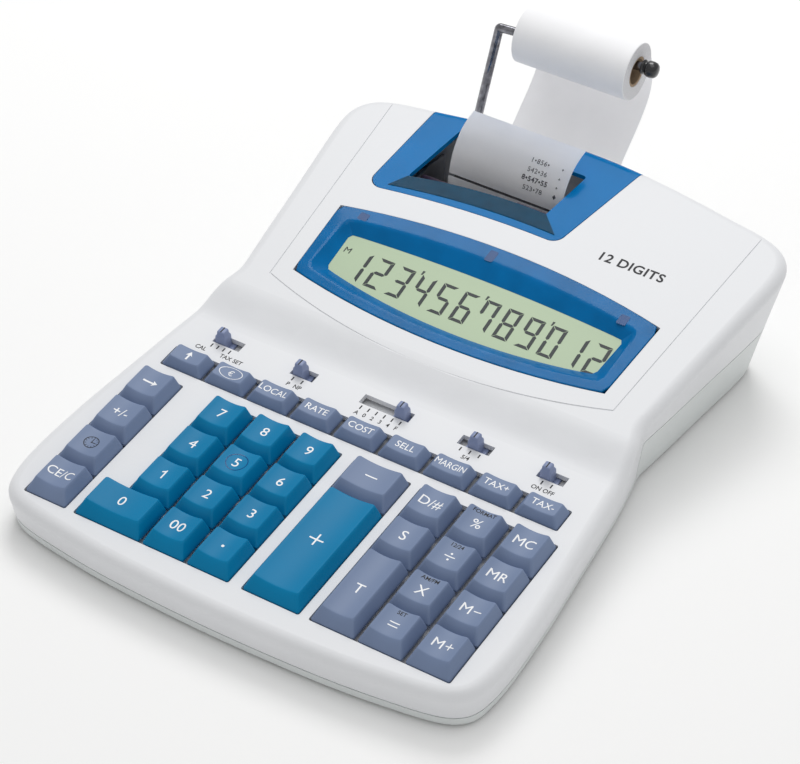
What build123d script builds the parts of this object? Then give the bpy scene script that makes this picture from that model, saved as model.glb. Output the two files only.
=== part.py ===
from build123d import *

import os
from math import cos, hypot, radians, sin, tan

# Electronic printing desk calculator.
# Frame: +X is the machine's right, +Y runs to the back, +Z is up, the feet stand on Z = 0 and the origin is
# under the middle of the whole object. Millimetres. Sketches use four planes: GROUND (flat, Y counted from
# the front edge), DECK (the sloping key deck), HEAD (the steeper display panel) and SIDE (the profile).

# Overall layout
FRONT = -172.0                 # Y of the case's front edge
CASE_FLOOR = 1.5               # underside of the case above the desk
WALL = 2.4                     # case wall
BASE_T = 2.2                   # floor of the lower case
SKY = 70.0                     # height of the upper guide outline of the flared sides
WAIST_R = 22.0                 # rounding of the waist crease
RIM_R = 4.8                    # rounding of the case's top edge

# Key deck
DECK_TILT = 5.0
DECK_Z = 19.0                  # deck height at the front edge
DECK_END = 136.0               # where the deck starts to swell up to the head
HEAD_TILT = 10.6
HEAD_Y = 174.4
HEAD_Z = 41.7
HEAD_START = 158.0

# Parting line between the two case halves
PART_LOW = 6.0
PART_HIGH = 27.5
PART_STEP = 173.0
SEAM = 0.7                     # depth and height of the groove that shades the parting line

# Keys
PITCH_X = 21.3
PITCH_V = 20.6
KEY_W = 19.5
KEY_D = 19.8
KEY_V = 15.1                   # front of the lowest row, measured up the deck
KEY_RISE = 5.6                 # key top above the deck
KEY_SIDE_IN = 2.6              # taper of the sides
KEY_FRONT_IN = 4.2             # slope of the front face
KEY_BACK_IN = 0.9
KEY_SKIRT = 1.2                # skirt below the deck surface
KEY_WALL = 1.3
KEY_R = 1.0
SCOOP = 1.3                    # depth of the hollow across a key top
STEM_R = 2.5
STEM_BOTTOM = -6.4
STEM_GAP = 0.8
FUNC_D = 11.4
FUNC_V = 104.4
FUNC_RISE = 4.2
FUNC_X = -86.2
FUNC_PITCH = 21.33
WINDOW_GAP = 0.65
WINDOW_BOTTOM = -4.1           # windows are cut down to just above the guide plate
DOME_RISE = 0.2
GUIDE_TOP = -4.2
GUIDE_BOTTOM = -5.4
GUIDE_END = 137.5
MAT_TOP = -9.8
BOARD_TOP = -10.6
BOARD_BOTTOM = -12.2

# Slide switches
SWITCH_V = 129.2
SLOT_D = 5.6
KNOB_W = 5.2
KNOB_D = 5.0
KNOB_RISE = 6.0

# Paper path
PAPER_W = 57.0
PAPER_X = -23.5
PAPER_T = 0.3
ROLL_R = 13.5
CORE_R = 7.2
CORE_BORE = 5.9
ROLL_Y = 328.0
ROLL_Z = 89.7
ROD_R = 2.1
ROD_Z = 93.4
ARM_X = -70.5
ARM_FOOT_Y = 318.0
ARM_FOOT_Z = 18.0
ARM_IN_Y = 268.0
ARM_BEND = 6.0
ROD_END = 13.0
PLATEN_Y = 270.0
PLATEN_Z = 37.0
PLATEN_R = 7.0
PLATEN_SHAFT = 2.0
INK_Y = 257.0
INK_Z = 48.0
INK_R = 4.2
INK_SHAFT = 1.3
RUN_GAP = 0.06
INLET_Z = 13.8
INLET_H = 9.0
FRAME_LEFT = -62.5
FRAME_RIGHT = 19.0
PLATE_T = 1.5

# Fasteners, feet, battery door and inlet
SCREW_R = 1.2
SCREW_HEAD_R = 2.8
SCREW_HEAD_T = 2.0
FOOT_R = 8.0
FOOT_T = 2.5
DOOR_W = 40.0
DOOR_D = 26.0
DOOR_Y = 100.0
DOOR_T = 1.6
DOOR_TRAVEL = 12.0
JACK_X = 62.0
JACK_Z = 14.0
JACK_R = 2.9

GROUND = Plane(origin=(0, FRONT, 0))
SIDE = Plane(origin=(0, FRONT, 0), x_dir=(0, 1, 0), z_dir=(1, 0, 0))
DECK = Plane(
    origin=(0, FRONT, DECK_Z), x_dir=(1, 0, 0), z_dir=(0, -sin(radians(DECK_TILT)), cos(radians(DECK_TILT)))
)
HEAD = Plane(
    origin=(0, FRONT + HEAD_Y, HEAD_Z),
    x_dir=(1, 0, 0),
    z_dir=(0, -sin(radians(HEAD_TILT)), cos(radians(HEAD_TILT))),
)

# Plan outlines, right half only: where the flared sides meet the desk, and where they would be at SKY.
# The front run goes from the middle of the front edge to the waist, the back run from the waist round the
# rear corner to the middle of the back edge.
FLOOR_FRONT = [
    (0, 3.0), (30, 3.6), (60, 5.4), (82, 8.2), (95, 10.6), (103.2, 14.0), (107.8, 19.0), (109.7, 27),
    (110.1, 39), (109.2, 56), (107.1, 79), (102.6, 115), (98.6, 148), (92.6, 179.5),
]
FLOOR_BACK = [
    (92.6, 179.5), (94.9, 204), (96.8, 230), (98.4, 250), (99.0, 262), (97.6, 271.8), (91.5, 277.0),
    (80, 279.0), (58, 281.6), (30, 285.6), (0, 287.2),
]
SKY_FRONT = [
    (0, -11.1), (31, -10.5), (62.5, -8.9), (88, -6.4), (103.6, -3.4), (113.6, 1.4), (119.6, 9.0), (122.4, 20),
    (123.0, 35.5), (122.0, 56), (119.6, 80.5), (115.2, 115), (110.5, 138), (104.7, 154),
]
SKY_BACK = [
    (104.7, 154), (108.2, 195), (111.2, 230), (113.2, 252), (113.8, 266), (111.6, 277.0), (105.0, 284.0),
    (96, 287.8), (84, 290.2), (62.6, 293.8), (31.5, 298.1), (0, 299.8),
]

os.makedirs("parts", exist_ok=True)


def inset(points, gap):
    """Move an open run of points inwards by gap along its local normal."""
    moved = []
    for i, (x, y) in enumerate(points):
        before = points[max(i - 1, 0)]
        after = points[min(i + 1, len(points) - 1)]
        dx = after[0] - before[0]
        dy = after[1] - before[1]
        size = hypot(dx, dy)
        moved.append((x - gap * dy / size, y + gap * dx / size))
    return moved


def front_run(half, gap):
    """Whole front run, left waist to right waist."""
    right = inset(half, gap)
    right[0] = (0, half[0][1] + gap)
    left = [(-x, y) for x, y in reversed(right[1:])]
    return left + right


def back_run(half, gap, joint):
    """Whole back run, right waist to left waist, starting at the shared waist point."""
    right = inset(half, gap)
    right[0] = joint
    right[-1] = (0, half[-1][1] - gap)
    left = [(-x, y) for x, y in reversed(right[:-1])]
    return right + left


def shell_block(gap):
    """Solid between the floor outline and the sky outline, every side moved in by gap."""
    low_front = front_run(FLOOR_FRONT, gap)
    low_back = back_run(FLOOR_BACK, gap, low_front[-1])
    high_front = front_run(SKY_FRONT, gap)
    high_back = back_run(SKY_BACK, gap, high_front[-1])
    with BuildPart() as block:
        with BuildSketch(GROUND):
            with BuildLine():
                Spline(*low_front)
                Spline(*low_back)
            make_face()
        with BuildSketch(GROUND.offset(SKY)):
            with BuildLine():
                Spline(*high_front)
                Spline(*high_back)
            make_face()
        loft(ruled=True)
    return block


def roof(y, drop):
    """Height of the case's top line at y from the front, lowered by drop."""
    if y <= DECK_END:
        return DECK_Z + y * tan(radians(DECK_TILT)) - drop
    return HEAD_Z + (y - HEAD_Y) * tan(radians(HEAD_TILT)) - drop


def under_roof(drop):
    """Everything below the case's top line."""
    near = -20.0
    far = 315.0
    with BuildPart() as block:
        with BuildSketch(SIDE):
            with BuildLine():
                Line((near, -5), (near, roof(near, drop)))
                Line((near, roof(near, drop)), (DECK_END, roof(DECK_END, drop)))
                Spline(
                    (DECK_END, roof(DECK_END, drop)),
                    (HEAD_START, roof(HEAD_START, drop)),
                    tangents=((1, tan(radians(DECK_TILT))), (1, tan(radians(HEAD_TILT)))),
                )
                Line((HEAD_START, roof(HEAD_START, drop)), (far, roof(far, drop)))
                Line((far, roof(far, drop)), (far, -5))
                Line((far, -5), (near, -5))
            make_face()
        extrude(amount=140, both=True)
    return block


def strip(points, thickness):
    """Closed outline of a thin sheet that follows points on the SIDE plane."""
    right = inset(points, thickness / 2)
    left = inset(points, -thickness / 2)
    return right, left


def is_rim(edge):
    """True for the outline edges of the case's top faces."""
    box = edge.bounding_box()
    across = edge.geom_type == GeomType.LINE and abs(box.min.X + box.max.X) < 1
    crease = abs(box.min.X + box.max.X) < 1 and box.max.Y < 0 and box.min.Y > FRONT + 50
    return box.min.Z > 14 and edge.length > 20 and not across and not crease


def is_crease(edge):
    """True for the two creases of the waist."""
    return edge.bounding_box().min.Z < 1 and edge.bounding_box().max.Z > 20


# Outer envelope of the closed case, with rounded waist and rim
with BuildPart() as envelope:
    add(shell_block(0).part)
    add(under_roof(0).part, mode=Mode.INTERSECT)
    fillet([e for e in envelope.edges() if is_crease(e)], WAIST_R)
    fillet([e for e in envelope.edges() if is_rim(e)], RIM_R)
    with BuildSketch(GROUND.offset(-5)):
        Rectangle(400, 800)
    extrude(amount=5 + CASE_FLOOR, mode=Mode.SUBTRACT)

# Hollow inside the case, stepped in under the rounded rim
with BuildPart() as rim_step:
    add(shell_block(RIM_R + 0.4).part)
    add(under_roof(WALL).part, mode=Mode.INTERSECT)
with BuildPart() as cavity:
    add(shell_block(WALL).part)
    add(under_roof(RIM_R).part, mode=Mode.INTERSECT)
    add(rim_step.part)
    with BuildSketch(GROUND.offset(-5)):
        Rectangle(400, 800)
    extrude(amount=5 + CASE_FLOOR + BASE_T, mode=Mode.SUBTRACT)

# Everything above the parting line
with BuildPart() as above:
    with BuildSketch(SIDE):
        with BuildLine():
            Polyline(
                (-20, PART_LOW), (PART_STEP, PART_LOW), (PART_STEP - 3, PART_HIGH), (330, PART_HIGH),
                (330, 90), (-20, 90), (-20, PART_LOW),
            )
        make_face()
    extrude(amount=140, both=True)

# Groove just below the parting line, outside the case wall's skin
with BuildPart() as seam:
    with BuildSketch(SIDE):
        with BuildLine():
            Polyline(
                (-20, PART_LOW), (PART_STEP, PART_LOW), (PART_STEP - 3, PART_HIGH), (330, PART_HIGH),
                (330, PART_HIGH - SEAM), (PART_STEP - 3 + SEAM, PART_HIGH - SEAM),
                (PART_STEP + SEAM, PART_LOW - SEAM), (-20, PART_LOW - SEAM), (-20, PART_LOW),
            )
        make_face()
    extrude(amount=140, both=True)
    add(shell_block(SEAM).part, mode=Mode.SUBTRACT)

# Key positions: name, middle in X, row front along the deck, width, depth, rise
KEYS = []
for row, name in enumerate(["key_ce_c", "key_clock", "key_sign", "key_shift"]):
    KEYS.append((name, -90.0, KEY_V + row * PITCH_V, KEY_W, KEY_D, KEY_RISE))
for index in range(9):
    x = -54.0 + index % 3 * PITCH_X
    front = KEY_V + (1 + index // 3) * PITCH_V
    KEYS.append(("key_" + str(index + 1), x, front, KEY_W, KEY_D, KEY_RISE))
KEYS.append(("key_0", -59.7, KEY_V, 30.9, KEY_D, KEY_RISE))
KEYS.append(("key_00", -54.0 + PITCH_X, KEY_V, KEY_W, KEY_D, KEY_RISE))
KEYS.append(("key_point", -54.0 + 2 * PITCH_X, KEY_V, KEY_W, KEY_D, KEY_RISE))
KEYS.append(("key_minus", 18.2, KEY_V + 3 * PITCH_V, 25.8, KEY_D, KEY_RISE))
KEYS.append(("key_plus", 18.2, KEY_V, 25.8, KEY_D + 2 * PITCH_V, KEY_RISE))
KEYS.append(("key_total", 46.4, KEY_V, KEY_W, KEY_D + PITCH_V, KEY_RISE))
KEYS.append(("key_subtotal", 46.4, KEY_V + 2 * PITCH_V, KEY_W, KEY_D, KEY_RISE))
KEYS.append(("key_date", 46.4, KEY_V + 3 * PITCH_V, KEY_W, KEY_D, KEY_RISE))
for row, name in enumerate(["key_equals", "key_times", "key_divide", "key_percent"]):
    KEYS.append((name, 46.4 + PITCH_X, KEY_V + row * PITCH_V, KEY_W, KEY_D, KEY_RISE))
for row, name in enumerate(["key_m_plus", "key_m_minus", "key_mr", "key_mc"]):
    KEYS.append((name, 46.4 + 2 * PITCH_X, KEY_V + row * PITCH_V, KEY_W, KEY_D, KEY_RISE))
FUNCTIONS = ["feed", "euro", "local", "rate", "cost", "sell", "margin", "tax_plus", "tax_minus"]
for col, name in enumerate(FUNCTIONS):
    KEYS.append(("key_" + name, FUNC_X + col * FUNC_PITCH, FUNC_V, KEY_W, FUNC_D, FUNC_RISE))

# Slide switches: name, slot's left end, slot's right end, middle of the knob
SWITCHES = [
    ("switch_rate", -85.3, -71.9, -81.4),
    ("switch_print", -46.2, -35.0, -42.2),
    ("switch_decimal", -12.0, 12.0, 7.6),
    ("switch_round", 35.2, 50.2, 42.6),
    ("switch_power", 72.2, 84.6, 76.2),
]

# Windows in the deck: left, right, front, back
WINDOWS = [
    (-99.75, -80.25, KEY_V, KEY_V + 3 * PITCH_V + KEY_D),
    (-63.75, -1.65, KEY_V, KEY_V + 3 * PITCH_V + KEY_D),
    (-75.15, -44.25, KEY_V, KEY_V + KEY_D),
    (5.3, 31.1, KEY_V, KEY_V + 3 * PITCH_V + KEY_D),
    (36.65, 98.75, KEY_V, KEY_V + 3 * PITCH_V + KEY_D),
    (FUNC_X - KEY_W / 2, FUNC_X + 8 * FUNC_PITCH + KEY_W / 2, FUNC_V, FUNC_V + FUNC_D),
]

# Screws: X, Y from the front, height of the head's seat
SCREWS = [
    (-55.0, 9.3, 4.0), (55.0, 9.3, 4.0), (-88.0, 148.0, 4.0), (88.0, 148.0, 4.0), (-86.0, 262.0, 20.0),
    (86.0, 262.0, 20.0),
]
FEET = [(-90.0, 32.0), (90.0, 32.0), (-80.0, 250.0), (80.0, 250.0)]


def stems(width, depth):
    """Stem offsets under a key: one, or two on a long key."""
    if depth > 1.5 * KEY_D:
        return [(0, -depth / 3), (0, depth / 3)]
    if width > 1.5 * KEY_W:
        return [(-width / 3, 0), (width / 3, 0)]
    return [(0, 0)]


def barrel(side_low, side_high, low_corner, low_mid, high_corner, high_mid):
    """Display outline: bowed bottom and top edges between straight, slightly splayed sides."""
    with BuildLine() as edge:
        ThreePointArc((-side_low, low_corner), (0, low_mid), (side_low, low_corner))
        Line((side_low, low_corner), (side_high, high_corner))
        ThreePointArc((side_high, high_corner), (0, high_mid), (-side_high, high_corner))
        Line((-side_high, high_corner), (-side_low, low_corner))
    return edge


def cover_prism(gap, bottom):
    """Prism on the head panel that cuts the printer cover out of the roof, from bottom upwards."""
    with BuildPart() as prism:
        with BuildSketch(HEAD.offset(bottom)):
            with BuildLine():
                ThreePointArc((-76.5 - gap, 58.8 - gap), (-30, 65.2 - gap), (16 + gap, 66.2 - gap))
                Line((16 + gap, 66.2 - gap), (30.2 + gap, 130))
                Line((30.2 + gap, 130), (-72.2 - gap, 130))
                Line((-72.2 - gap, 130), (-76.5 - gap, 58.8 - gap))
            make_face()
            fillet(vertices().group_by(Axis.Y)[0] + vertices().group_by(Axis.Y)[1], 6.0)
        extrude(amount=22)
    return prism


# Lower case: shallow tray under the keys, deep tub under the printer
with BuildPart() as lower_case:
    add(envelope.part)
    add(above.part, mode=Mode.SUBTRACT)
    add(cavity.part, mode=Mode.SUBTRACT)
    add(seam.part, mode=Mode.SUBTRACT)
    for x, y, seat in SCREWS:
        with BuildSketch(GROUND.offset(CASE_FLOOR + 0.5)):
            with Locations((x, y)):
                Circle(4.0)
        extrude(amount=(PART_LOW if seat < 10 else PART_HIGH) - CASE_FLOOR - 0.5)
        with BuildSketch(GROUND):
            with Locations((x, y)):
                Circle(SCREW_HEAD_R + 0.3)
        extrude(amount=seat, mode=Mode.SUBTRACT)
        with BuildSketch(GROUND):
            with Locations((x, y)):
                Circle(SCREW_R + 0.3)
        extrude(amount=PART_HIGH + 5, mode=Mode.SUBTRACT)
    # Pockets for the feet
    with BuildSketch(GROUND):
        with Locations(*FEET):
            Circle(FOOT_R + 0.1)
    extrude(amount=FOOT_T, mode=Mode.SUBTRACT)
    # Battery box with its opening in the floor, and the recess behind it that the door slides into
    with BuildSketch(GROUND.offset(CASE_FLOOR + 0.5)):
        with Locations((0, DOOR_Y)):
            Rectangle(DOOR_W + 4, DOOR_D + 4)
    extrude(amount=9.5)
    with BuildSketch(GROUND.offset(CASE_FLOOR + 0.5)):
        with Locations((0, DOOR_Y + DOOR_D / 2 + DOOR_TRAVEL / 2)):
            Rectangle(DOOR_W + 4, DOOR_TRAVEL + 6)
    extrude(amount=3.5)
    with BuildSketch(GROUND):
        with Locations((0, DOOR_Y)):
            Rectangle(DOOR_W - 4, DOOR_D - 4)
    extrude(amount=CASE_FLOOR + 8.5, mode=Mode.SUBTRACT)
    with BuildSketch(GROUND):
        with Locations((0, DOOR_Y + DOOR_TRAVEL / 2)):
            Rectangle(DOOR_W, DOOR_D + DOOR_TRAVEL)
    extrude(amount=CASE_FLOOR + DOOR_T + 0.35, mode=Mode.SUBTRACT)
    # Boss that takes the wire arm's foot
    with BuildSketch(SIDE.offset(ARM_X)):
        with Locations((275, ARM_FOOT_Z)):
            Rectangle(17, 9)
    extrude(amount=4.5, both=True)
    with BuildSketch(Plane(origin=(ARM_X, FRONT + 320, ARM_FOOT_Z), x_dir=(1, 0, 0), z_dir=(0, -1, 0))):
        Circle(ROD_R + 0.05)
    extrude(amount=320 - ARM_IN_Y, mode=Mode.SUBTRACT)
    # Boss with the bore of the power inlet
    with BuildSketch(SIDE.offset(JACK_X)):
        with Locations((276, JACK_Z)):
            Rectangle(14, 11)
    extrude(amount=5.5, both=True)
    with BuildSketch(Plane(origin=(JACK_X, FRONT + 320, JACK_Z), x_dir=(1, 0, 0), z_dir=(0, -1, 0))):
        Circle(JACK_R)
    extrude(amount=320 - 272, mode=Mode.SUBTRACT)
    # Paper inlet in the back wall
    with BuildSketch(Plane(origin=(PAPER_X, FRONT + 320, INLET_Z), x_dir=(1, 0, 0), z_dir=(0, -1, 0))):
        RectangleRounded(PAPER_W + 4, INLET_H, 2.0)
    extrude(amount=320 - 281, mode=Mode.SUBTRACT)
    # Bosses and feet stay inside the outer shape
    add(envelope.part, mode=Mode.INTERSECT)
lower_case.part.label = "lower_case"
export_step(lower_case.part, "parts/lower_case.step")

# Upper case: roof, flared sides, key windows, key guide plate and screw posts
with BuildPart() as guide:
    with BuildSketch(DECK.offset(GUIDE_BOTTOM)):
        with Locations((0, GUIDE_END / 2)):
            Rectangle(250, GUIDE_END)
    extrude(amount=GUIDE_TOP - GUIDE_BOTTOM)
    with BuildSketch(DECK.offset(GUIDE_TOP)):
        with Locations((-77.7, 56)):
            Rectangle(2.0, 82)
        with Locations((1.85, 56), (33.85, 56)):
            Rectangle(3.0, 82)
        with Locations((0, 100.5)):
            Rectangle(190, 4)
    extrude(amount=2.0)
    with BuildSketch(DECK.offset(MAT_TOP)):
        with Locations((-77.7, 25), (-77.7, 88), (33.85, 25), (33.85, 88), (-62, 121), (62, 121)):
            Circle(1.6)
    extrude(amount=GUIDE_BOTTOM - MAT_TOP)
    for x, y, seat in SCREWS:
        with BuildSketch(GROUND.offset(PART_LOW if seat < 10 else PART_HIGH)):
            with Locations((x, y)):
                Circle(3.2)
        extrude(amount=SKY)
    # Ledges that carry the printer cover
    with BuildSketch(HEAD.offset(-4.4)):
        with Locations((-76.8, 87)):
            Rectangle(6.6, 62, rotation=-3.4)
        with Locations((23.5, 91)):
            Rectangle(6.6, 52, rotation=-12.5)
    extrude(amount=3.2)
    add(envelope.part, mode=Mode.INTERSECT)

with BuildPart() as upper_case:
    add(envelope.part)
    add(cavity.part, mode=Mode.SUBTRACT)
    add(above.part, mode=Mode.INTERSECT)
    # Key windows and switch slots
    for left, right, front, back in WINDOWS:
        with BuildSketch(DECK.offset(WINDOW_BOTTOM)):
            with Locations(((left + right) / 2, (front + back) / 2)):
                RectangleRounded(right - left + 2 * WINDOW_GAP, back - front + 2 * WINDOW_GAP, KEY_R)
        extrude(amount=12, mode=Mode.SUBTRACT)
    for name, left, right, middle in SWITCHES:
        with BuildSketch(DECK.offset(-3.5)):
            with Locations(((left + right) / 2, SWITCH_V)):
                Rectangle(right - left, SLOT_D)
        extrude(amount=12, mode=Mode.SUBTRACT)
    # Panel line round the display and the printer
    with BuildSketch(HEAD.offset(-0.35)) as panel_line:
        with BuildLine():
            ThreePointArc((-84.0, -6.6), (0, -21.0), (84.0, -6.6))
            Line((84.0, -6.6), (95.4, 140))
            Line((95.4, 140), (-95.4, 140))
            Line((-95.4, 140), (-84.0, -6.6))
        make_face()
        offset(amount=0.3, kind=Kind.INTERSECTION)
        with BuildLine():
            ThreePointArc((-83.7, -6.3), (0, -20.6), (83.7, -6.3))
            Line((83.7, -6.3), (95.0, 139.6))
            Line((95.0, 139.6), (-95.0, 139.6))
            Line((-95.0, 139.6), (-83.7, -6.3))
        make_face(mode=Mode.SUBTRACT)
    extrude(amount=10, mode=Mode.SUBTRACT)
    # Display opening
    with BuildSketch(HEAD.offset(-6)):
        add(barrel(76.4, 79.2, -0.2, -8.7, 42.8, 52.0).line)
        make_face()
    extrude(amount=14, mode=Mode.SUBTRACT)
    # Printer opening
    add(guide.part)
    add(cover_prism(0.35, -2.8).part, mode=Mode.SUBTRACT)
    # Stem holes
    for name, x, front, width, depth, rise in KEYS:
        for dx, dv in stems(width, depth):
            with BuildSketch(DECK.offset(GUIDE_BOTTOM - 1)):
                with Locations((x + dx, front + depth / 2 + dv)):
                    Circle(STEM_R + STEM_GAP)
            extrude(amount=3.0, mode=Mode.SUBTRACT)
    # Pilot holes for the screws
    for x, y, seat in SCREWS:
        with BuildSketch(GROUND):
            with Locations((x, y)):
                Circle(SCREW_R + 0.05)
        extrude(amount=seat + 10.5, mode=Mode.SUBTRACT)
upper_case.part.label = "upper_case"
export_step(upper_case.part, "parts/upper_case.step")

# Keys: hollow tapered caps with a scooped top, a short skirt and guide stems
for name, x, front, width, depth, rise in KEYS:
    front_in = KEY_FRONT_IN if depth > FUNC_D + 1 else 2.3
    top_w = width - 2 * KEY_SIDE_IN
    top_d = depth - front_in - KEY_BACK_IN
    top_v = front + front_in + top_d / 2
    mid_v = front + depth / 2
    dish = SCOOP if depth > FUNC_D + 1 else 0.7
    dish_r = (top_w**2 / 4 + dish**2) / (2 * dish)
    with BuildPart() as key:
        with BuildSketch(DECK):
            with Locations((x, mid_v)):
                RectangleRounded(width, depth, KEY_R)
        with BuildSketch(DECK.offset(rise)):
            with Locations((x, top_v)):
                RectangleRounded(top_w, top_d, KEY_R)
        loft()
        with BuildSketch(DECK.offset(-KEY_SKIRT)):
            with Locations((x, mid_v)):
                RectangleRounded(width, depth, KEY_R)
        extrude(amount=KEY_SKIRT)
        scoop_axis = DECK.from_local_coords((x, front - 1, rise + dish_r - dish))
        with BuildSketch(Plane(origin=scoop_axis, x_dir=(1, 0, 0), z_dir=DECK.y_dir)):
            Circle(dish_r)
        extrude(amount=depth + 2, mode=Mode.SUBTRACT)
        with BuildSketch(DECK.offset(-KEY_SKIRT)):
            with Locations((x, mid_v)):
                RectangleRounded(width - 2 * KEY_WALL, depth - 2 * KEY_WALL, 0.5)
        with BuildSketch(DECK.offset(rise - dish - KEY_WALL)):
            with Locations((x, top_v)):
                RectangleRounded(top_w - 2 * KEY_WALL + 1.0, top_d - 2 * KEY_WALL + 1.0, 0.5)
        loft(mode=Mode.SUBTRACT)
        for dx, dv in stems(width, depth):
            with BuildSketch(DECK.offset(STEM_BOTTOM)):
                with Locations((x + dx, mid_v + dv)):
                    Circle(STEM_R)
            extrude(amount=rise - dish - KEY_WALL + 0.2 - STEM_BOTTOM)
    key.part.label = name
    export_step(key.part, "parts/" + name + ".step")

# Slide switch knobs: ridged block above the slot, neck through it, carrier plate below the deck
for name, left, right, middle in SWITCHES:
    with BuildPart() as knob:
        with BuildSketch(DECK.offset(-3.0)):
            with Locations((middle, SWITCH_V)):
                Rectangle(KNOB_W, KNOB_D)
        extrude(amount=3.0)
        with BuildSketch(DECK):
            with Locations((middle, SWITCH_V)):
                Rectangle(KNOB_W, KNOB_D)
        with BuildSketch(DECK.offset(KNOB_RISE)):
            with Locations((middle, SWITCH_V)):
                Rectangle(KNOB_W - 1.6, KNOB_D - 1.2)
        loft()
        with BuildSketch(DECK.offset(-3.9)):
            with Locations((middle, SWITCH_V)):
                Rectangle(KNOB_W + 4, KNOB_D + 4)
        extrude(amount=1.2)
        with BuildSketch(DECK.offset(KNOB_RISE - 0.6)):
            with Locations((middle, SWITCH_V)):
                Rectangle(0.6, KNOB_D)
        extrude(amount=1, mode=Mode.SUBTRACT)
    knob.part.label = name
    export_step(knob.part, "parts/" + name + ".step")

# Display bezel: blue barrel-shaped frame with a funnel down to the display window
with BuildPart() as display_bezel:
    with BuildSketch(HEAD.offset(-3.5)):
        add(barrel(76.2, 79.0, 0.0, -8.5, 42.6, 51.8).line)
        make_face()
    extrude(amount=3.9)
    with BuildSketch(HEAD.offset(-3.5)):
        add(barrel(78.2, 81.0, -2.0, -10.5, 44.6, 53.8).line)
        make_face()
    extrude(amount=0.9)
    with BuildSketch(HEAD.offset(-3.5)):
        add(barrel(66.0, 67.6, 10.0, 2.0, 32.0, 34.8).line)
        make_face()
    with BuildSketch(HEAD.offset(0.4)):
        add(barrel(71.5, 71.5, 5.5, -3.6, 36.0, 42.2).line)
        make_face()
    loft(mode=Mode.SUBTRACT)
display_bezel.part.label = "display_bezel"
export_step(display_bezel.part, "parts/display_bezel.step")

# Display module: glass cell, holder and driver board
with BuildPart() as lcd_module:
    with BuildSketch(HEAD.offset(-5.7)):
        with Locations((0, 19.5)):
            Rectangle(140, 38)
    extrude(amount=2.2)
    with BuildSketch(HEAD.offset(-7.2)):
        with Locations((0, 20)):
            Rectangle(146, 42)
    extrude(amount=1.5)
    with BuildSketch(HEAD.offset(-9.0)):
        with Locations((0, 21), (-55, 21), (55, 21)):
            Rectangle(14, 12)
    extrude(amount=1.8)
lcd_module.part.label = "lcd_module"
export_step(lcd_module.part, "parts/lcd_module.step")

# Printer cover: a piece of the roof with the paper opening in it
with BuildPart() as printer_cover:
    add(envelope.part)
    add(cavity.part, mode=Mode.SUBTRACT)
    add(cover_prism(0, -WALL).part, mode=Mode.INTERSECT)
    with BuildSketch(HEAD.offset(-8)):
        with BuildLine():
            ThreePointArc((-62.6, 71.5), (-30, 77.6), (3.4, 78.9))
            Line((3.4, 78.9), (8.0, 108.0))
            Line((8.0, 108.0), (-56.7, 108.0))
            Line((-56.7, 108.0), (-62.6, 71.5))
        make_face()
        fillet(vertices(), 1.5)
    extrude(amount=16, mode=Mode.SUBTRACT)
printer_cover.part.label = "printer_cover"
export_step(printer_cover.part, "parts/printer_cover.step")

# Printer frame: two side plates, cross bars, print head on its guide rod, motor
with BuildPart() as printer_frame:
    for x in (FRAME_LEFT, FRAME_RIGHT - PLATE_T):
        with BuildSketch(SIDE.offset(x)):
            with BuildLine():
                Polyline(
                    (238, CASE_FLOOR + BASE_T), (275, CASE_FLOOR + BASE_T), (275, 50), (262, 52), (238, 47),
                    (238, CASE_FLOOR + BASE_T),
                )
            make_face()
            with Locations((PLATEN_Y, PLATEN_Z)):
                Circle(PLATEN_SHAFT + RUN_GAP, mode=Mode.SUBTRACT)
            with Locations((INK_Y, INK_Z)):
                Circle(INK_SHAFT + RUN_GAP, mode=Mode.SUBTRACT)
        extrude(amount=PLATE_T)
    with BuildSketch(SIDE.offset(FRAME_LEFT + PLATE_T)):
        with Locations((241, 12), (241, 38)):
            Rectangle(3, 8)
        with Locations((272.5, 24)):
            Rectangle(3, 4)
        with Locations((248, 30)):
            Circle(1.8)
    extrude(amount=FRAME_RIGHT - FRAME_LEFT - 2 * PLATE_T)
    with BuildSketch(SIDE.offset(-42)):
        with Locations((251, 33)):
            Rectangle(14, 16)
    extrude(amount=13)
    with BuildSketch(SIDE.offset(FRAME_LEFT)):
        with Locations((226, 20)):
            Circle(10)
        with Locations((236, 20)):
            Rectangle(6, 8)
    extrude(amount=30)
printer_frame.part.label = "printer_frame"
export_step(printer_frame.part, "parts/printer_frame.step")

# Feed roller: rubber platen on a steel shaft with an end gear blank
with BuildPart() as feed_roller:
    with BuildSketch(SIDE.offset(PAPER_X)):
        with Locations((PLATEN_Y, PLATEN_Z)):
            Circle(PLATEN_R)
    extrude(amount=30, both=True)
    with BuildSketch(SIDE.offset(FRAME_LEFT - 2)):
        with Locations((PLATEN_Y, PLATEN_Z)):
            Circle(PLATEN_SHAFT)
    extrude(amount=FRAME_RIGHT - FRAME_LEFT + 6)
    with BuildSketch(SIDE.offset(FRAME_RIGHT + 0.5)):
        with Locations((PLATEN_Y, PLATEN_Z)):
            Circle(6.5)
    extrude(amount=3)
feed_roller.part.label = "feed_roller"
export_step(feed_roller.part, "parts/feed_roller.step")

# Ink roller on its own shaft in front of the paper
with BuildPart() as ink_roller:
    with BuildSketch(SIDE.offset(FRAME_LEFT - 1)):
        with Locations((INK_Y, INK_Z)):
            Circle(INK_SHAFT)
    extrude(amount=FRAME_RIGHT - FRAME_LEFT + 2)
    with BuildSketch(SIDE.offset(-14)):
        with Locations((INK_Y, INK_Z)):
            Circle(INK_R)
    extrude(amount=18)
ink_roller.part.label = "ink_roller"
export_step(ink_roller.part, "parts/ink_roller.step")

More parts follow.
